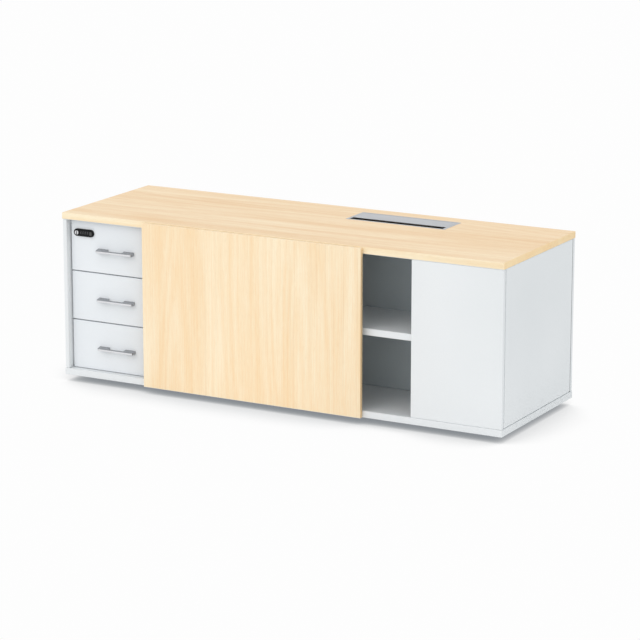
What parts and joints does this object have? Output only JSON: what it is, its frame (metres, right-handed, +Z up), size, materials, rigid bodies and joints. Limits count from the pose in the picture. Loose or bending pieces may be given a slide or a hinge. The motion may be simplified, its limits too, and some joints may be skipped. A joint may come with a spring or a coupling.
{
  "type": "office credenza",
  "caption": "Low office credenza with wood-faced top and hanging sliding door, lockable drawers at the left, an open shelf bay and a flap-covered cable port in the top.",
  "frame": {"origin": "on the floor, under the centre of the whole object's footprint", "axes": "+X along the length to the right as seen from the front, +Y to the back, +Z up"},
  "size_m": [1.8, 0.619, 0.6423],
  "materials": {
    "wood_laminate": "pale maple laminate on chipboard, satin",
    "grey_melamine": "light grey melamine on chipboard, fine texture, satin",
    "tray_board": "light grey wrapped board, satin",
    "satin_aluminium": "satin anodised",
    "satin_nickel": "satin nickel plate",
    "zinc_steel": "bright zinc-plated sheet steel",
    "black_plastic": "black moulded plastic, fine grain",
    "dial_plastic": "dark moulded plastic",
    "nylon": "natural nylon"
  },
  "bodies": {
    "carcass": {"top_panel": "wood_laminate", "base_panel": "grey_melamine", "left_side_panel": "grey_melamine", "right_side_panel": "grey_melamine", "back_panel": "grey_melamine", "drawer_partition": "grey_melamine", "centre_partition": "grey_melamine", "inner_back_panel": "grey_melamine", "fixed_front_panel": "grey_melamine", "left_shelf": "grey_melamine", "right_shelf": "grey_melamine", "foot_front_left": "black_plastic", "foot_front_middle": "black_plastic", "foot_front_right": "black_plastic", "foot_rear_left": "black_plastic", "foot_rear_middle": "black_plastic", "foot_rear_right": "black_plastic", "top_track": "satin_aluminium", "centre_guide": "black_plastic", "cable_port_frame": "satin_aluminium", "drawer_1_cabinet_runner_left": "zinc_steel", "drawer_1_cabinet_runner_right": "zinc_steel", "drawer_2_cabinet_runner_left": "zinc_steel", "drawer_2_cabinet_runner_right": "zinc_steel", "drawer_3_cabinet_runner_left": "zinc_steel", "drawer_3_cabinet_runner_right": "zinc_steel"},
    "door": {"sliding_door": "wood_laminate", "door_hanger_left": "zinc_steel", "door_hanger_right": "zinc_steel"},
    "wheels_left": {"wheelset_left": "nylon"},
    "wheels_right": {"wheelset_right": "nylon"},
    "drawer_1": {"drawer_1_front": "grey_melamine", "drawer_1_tray": "tray_board", "drawer_1_handle": "satin_nickel", "drawer_1_drawer_runner_left": "zinc_steel", "drawer_1_drawer_runner_right": "zinc_steel", "lock_housing": "black_plastic"},
    "drawer_2": {"drawer_2_front": "grey_melamine", "drawer_2_tray": "tray_board", "drawer_2_handle": "satin_nickel", "drawer_2_drawer_runner_left": "zinc_steel", "drawer_2_drawer_runner_right": "zinc_steel"},
    "drawer_3": {"drawer_3_front": "grey_melamine", "drawer_3_tray": "tray_board", "drawer_3_handle": "satin_nickel", "drawer_3_drawer_runner_left": "zinc_steel", "drawer_3_drawer_runner_right": "zinc_steel"},
    "drawer_1_middle": {"drawer_1_middle_runner_left": "zinc_steel", "drawer_1_middle_runner_right": "zinc_steel"},
    "drawer_2_middle": {"drawer_2_middle_runner_left": "zinc_steel", "drawer_2_middle_runner_right": "zinc_steel"},
    "drawer_3_middle": {"drawer_3_middle_runner_left": "zinc_steel", "drawer_3_middle_runner_right": "zinc_steel"},
    "flap": {"cable_port_flap": "satin_aluminium"},
    "lock": {"lock_knob": "satin_nickel", "lock_cam": "zinc_steel"},
    "dial_1": {"lock_dial_1": "dial_plastic"},
    "dial_2": {"lock_dial_2": "dial_plastic"},
    "dial_3": {"lock_dial_3": "dial_plastic"},
    "dial_4": {"lock_dial_4": "dial_plastic"}
  },
  "joints": [
    {"name": "door_slide", "type": "slide", "parent": "carcass", "child": "door", "axis": [1, 0, 0], "range_m": [-0.346, 0.53]},
    {"name": "wheels_left_roll", "type": "hinge", "parent": "door", "child": "wheels_left", "pos_m": [-0.478, -0.2775, 0.6228], "axis": [0, 1, 0], "continuous": true},
    {"name": "wheels_right_roll", "type": "hinge", "parent": "door", "child": "wheels_right", "pos_m": [-0.058, -0.2775, 0.6228], "axis": [0, 1, 0], "continuous": true},
    {"name": "drawer_1_slide", "type": "slide", "parent": "carcass", "child": "drawer_1", "axis": [0, -1, 0], "range_m": [0, 0.4]},
    {"name": "drawer_2_slide", "type": "slide", "parent": "carcass", "child": "drawer_2", "axis": [0, -1, 0], "range_m": [0, 0.4]},
    {"name": "drawer_3_slide", "type": "slide", "parent": "carcass", "child": "drawer_3", "axis": [0, -1, 0], "range_m": [0, 0.4]},
    {"name": "drawer_1_middle_slide", "type": "slide", "parent": "carcass", "child": "drawer_1_middle", "axis": [0, -1, 0], "range_m": [0, 0.2]},
    {"name": "drawer_2_middle_slide", "type": "slide", "parent": "carcass", "child": "drawer_2_middle", "axis": [0, -1, 0], "range_m": [0, 0.2]},
    {"name": "drawer_3_middle_slide", "type": "slide", "parent": "carcass", "child": "drawer_3_middle", "axis": [0, -1, 0], "range_m": [0, 0.2]},
    {"name": "flap_hinge", "type": "hinge", "parent": "carcass", "child": "flap", "pos_m": [0.2765, 0.233, 0.6393], "axis": [-1, 0, 0], "range_deg": [0, 95]},
    {"name": "lock_turn", "type": "hinge", "parent": "drawer_1", "child": "lock", "pos_m": [-0.8465, -0.2655, 0.5685], "axis": [0, -1, 0], "range_deg": [0, 90]},
    {"name": "dial_1_turn", "type": "hinge", "parent": "drawer_1", "child": "dial_1", "pos_m": [-0.8285, -0.2655, 0.5685], "axis": [1, 0, 0], "continuous": true},
    {"name": "dial_2_turn", "type": "hinge", "parent": "drawer_1", "child": "dial_2", "pos_m": [-0.8185, -0.2655, 0.5685], "axis": [1, 0, 0], "continuous": true},
    {"name": "dial_3_turn", "type": "hinge", "parent": "drawer_1", "child": "dial_3", "pos_m": [-0.8085, -0.2655, 0.5685], "axis": [1, 0, 0], "continuous": true},
    {"name": "dial_4_turn", "type": "hinge", "parent": "drawer_1", "child": "dial_4", "pos_m": [-0.7985, -0.2655, 0.5685], "axis": [1, 0, 0], "continuous": true}
  ],
  "couplings": [
    {"joint": "wheels_left_roll", "follows": "door_slide", "rad_per_m": 250},
    {"joint": "wheels_right_roll", "follows": "door_slide", "rad_per_m": 250},
    {"joint": "drawer_1_middle_slide", "follows": "drawer_1_slide", "ratio": 0.5},
    {"joint": "drawer_2_middle_slide", "follows": "drawer_2_slide", "ratio": 0.5},
    {"joint": "drawer_3_middle_slide", "follows": "drawer_3_slide", "ratio": 0.5}
  ]
}
